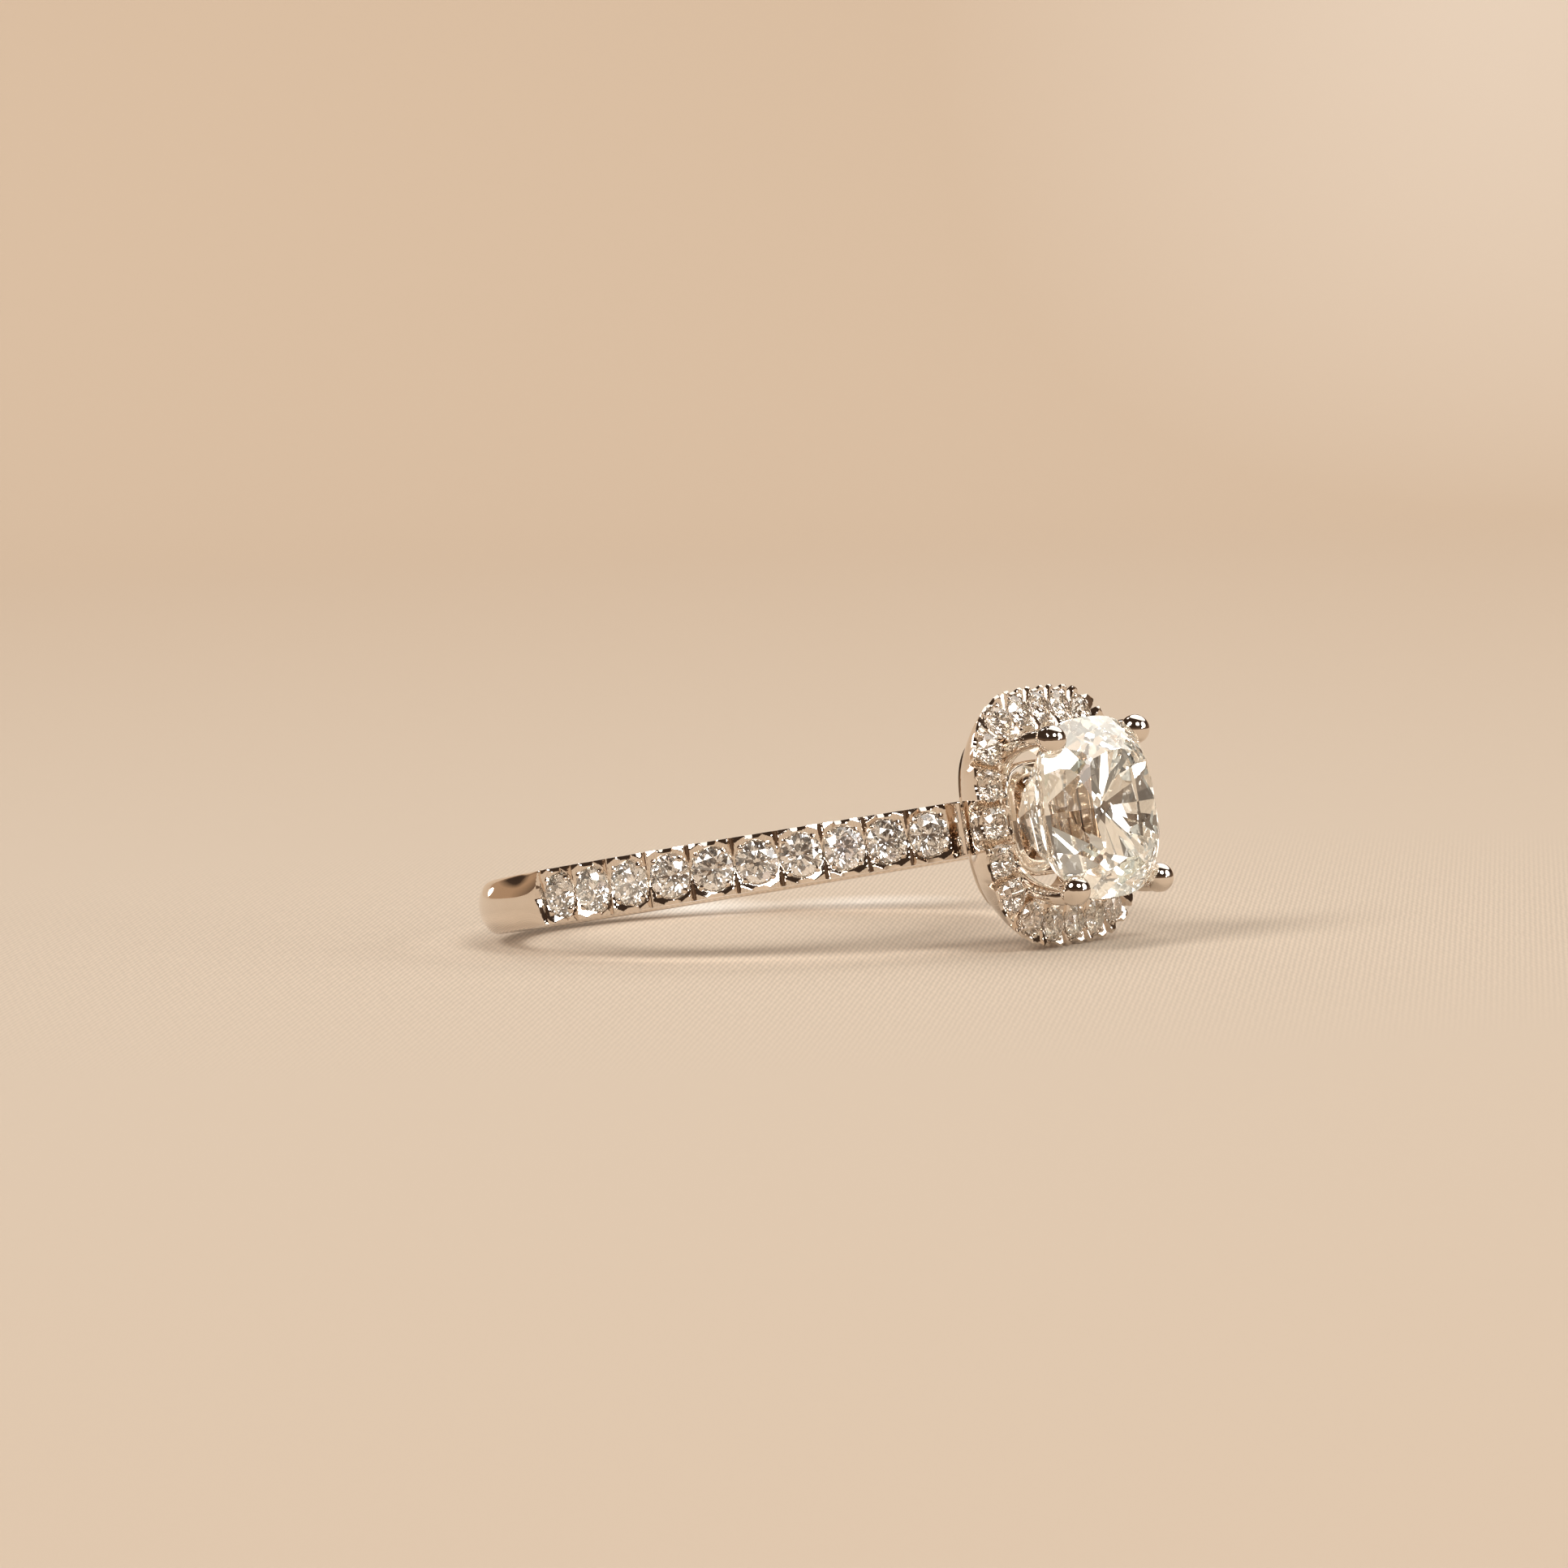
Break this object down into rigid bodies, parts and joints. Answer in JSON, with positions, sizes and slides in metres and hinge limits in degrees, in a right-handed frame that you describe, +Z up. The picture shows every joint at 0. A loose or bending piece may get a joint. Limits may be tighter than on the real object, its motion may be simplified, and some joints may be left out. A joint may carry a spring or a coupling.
{
  "type": "engagement ring",
  "caption": "Engagement ring on its side: claws hold a cushion stone above a halo of small stones, on a band set with more of them.",
  "frame": {"origin": "middle of the underside of the ring's box, as it lies on its side on a table", "axes": "+X from the back of the band to the centre stone, +Y across the finger hole to the left shoulder, +Z up from the table, nearly along the finger"},
  "size_m": [0.0248, 0.02, 0.0087],
  "materials": {
    "white_gold": "mirror polished white gold",
    "centre_stone": "cut and polished, near colourless",
    "small_stone": "cut and polished, near colourless"
  },
  "bodies": {
    "root": {"shank": "white_gold", "halo_frame": "white_gold", "gallery_rail": "white_gold", "head_base": "white_gold", "claw_upper_left": "white_gold", "claw_upper_right": "white_gold", "claw_lower_left": "white_gold", "claw_lower_right": "white_gold", "centre_diamond": "centre_stone", "halo_diamond_01": "small_stone", "halo_diamond_02": "small_stone", "halo_diamond_03": "small_stone", "halo_diamond_04": "small_stone", "halo_diamond_05": "small_stone", "halo_diamond_06": "small_stone", "halo_diamond_07": "small_stone", "halo_diamond_08": "small_stone", "halo_diamond_09": "small_stone", "halo_diamond_10": "small_stone", "halo_diamond_11": "small_stone", "halo_diamond_12": "small_stone", "halo_diamond_13": "small_stone", "halo_diamond_14": "small_stone", "halo_diamond_15": "small_stone", "halo_diamond_16": "small_stone", "halo_diamond_17": "small_stone", "halo_diamond_18": "small_stone", "halo_diamond_19": "small_stone", "halo_diamond_20": "small_stone", "shank_diamond_left_01": "small_stone", "shank_diamond_left_02": "small_stone", "shank_diamond_left_03": "small_stone", "shank_diamond_left_04": "small_stone", "shank_diamond_left_05": "small_stone", "shank_diamond_left_06": "small_stone", "shank_diamond_left_07": "small_stone", "shank_diamond_left_08": "small_stone", "shank_diamond_left_09": "small_stone", "shank_diamond_left_10": "small_stone", "shank_diamond_right_01": "small_stone", "shank_diamond_right_02": "small_stone", "shank_diamond_right_03": "small_stone", "shank_diamond_right_04": "small_stone", "shank_diamond_right_05": "small_stone", "shank_diamond_right_06": "small_stone", "shank_diamond_right_07": "small_stone", "shank_diamond_right_08": "small_stone", "shank_diamond_right_09": "small_stone", "shank_diamond_right_10": "small_stone"}
  },
  "joints": []
}
